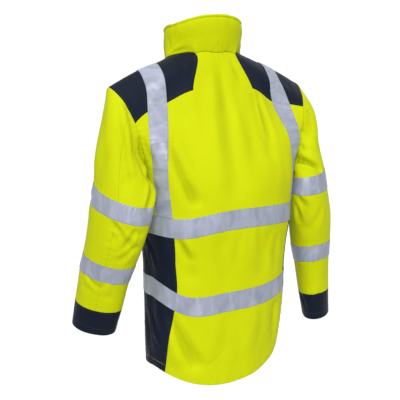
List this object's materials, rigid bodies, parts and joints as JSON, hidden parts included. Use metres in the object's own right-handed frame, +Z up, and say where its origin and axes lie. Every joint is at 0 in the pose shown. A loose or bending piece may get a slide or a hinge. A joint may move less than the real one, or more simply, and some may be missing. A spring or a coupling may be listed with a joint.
{
  "type": "hi-vis work jacket",
  "caption": "Padded hi-vis work jacket as worn, hollow, with stand collar, set-in sleeves, contrast shoulder and side panels and reflective tape.",
  "frame": {"origin": "middle of the neck opening, at the height where the shoulder seam meets the collar", "axes": "+Z up along the wearer's spine, -Y towards the wearer's front, +X towards the wearer's left"},
  "size_m": [0.7739, 0.2907, 0.952],
  "materials": {
    "hi_vis_cloth": "fluorescent yellow woven polyester, matt with a faint sheen",
    "navy_cloth": "dark navy woven polyester, matt",
    "reflective_tape": "silver grey retroreflective tape, satin",
    "zip_metal": "satin metal"
  },
  "bodies": {
    "jacket": {"back": "hi_vis_cloth", "front_left": "hi_vis_cloth", "front_right": "hi_vis_cloth", "sleeve_outer_left": "hi_vis_cloth", "sleeve_outer_right": "hi_vis_cloth", "sleeve_under_left": "hi_vis_cloth", "sleeve_under_right": "hi_vis_cloth", "collar": "hi_vis_cloth", "shoulder_patch_left": "navy_cloth", "shoulder_patch_right": "navy_cloth", "side_back_left": "navy_cloth", "side_back_right": "navy_cloth", "side_front_left": "navy_cloth", "side_front_right": "navy_cloth", "cuff_left": "navy_cloth", "cuff_right": "navy_cloth", "zip": "navy_cloth", "band_lower": "reflective_tape", "band_upper": "reflective_tape", "brace_left": "reflective_tape", "brace_right": "reflective_tape", "sleeve_band_upper_left": "reflective_tape", "sleeve_band_upper_right": "reflective_tape", "sleeve_band_lower_left": "reflective_tape", "sleeve_band_lower_right": "reflective_tape", "zip_slider": "zip_metal"},
    "pull_tab": {"zip_pull": "zip_metal"}
  },
  "joints": [
    {"name": "pull_tab_swing", "type": "hinge", "parent": "jacket", "child": "pull_tab", "pos_m": [0, -0.09612, 0.03444], "axis": [-1, 0, 0], "range_deg": [0, 140]}
  ]
}
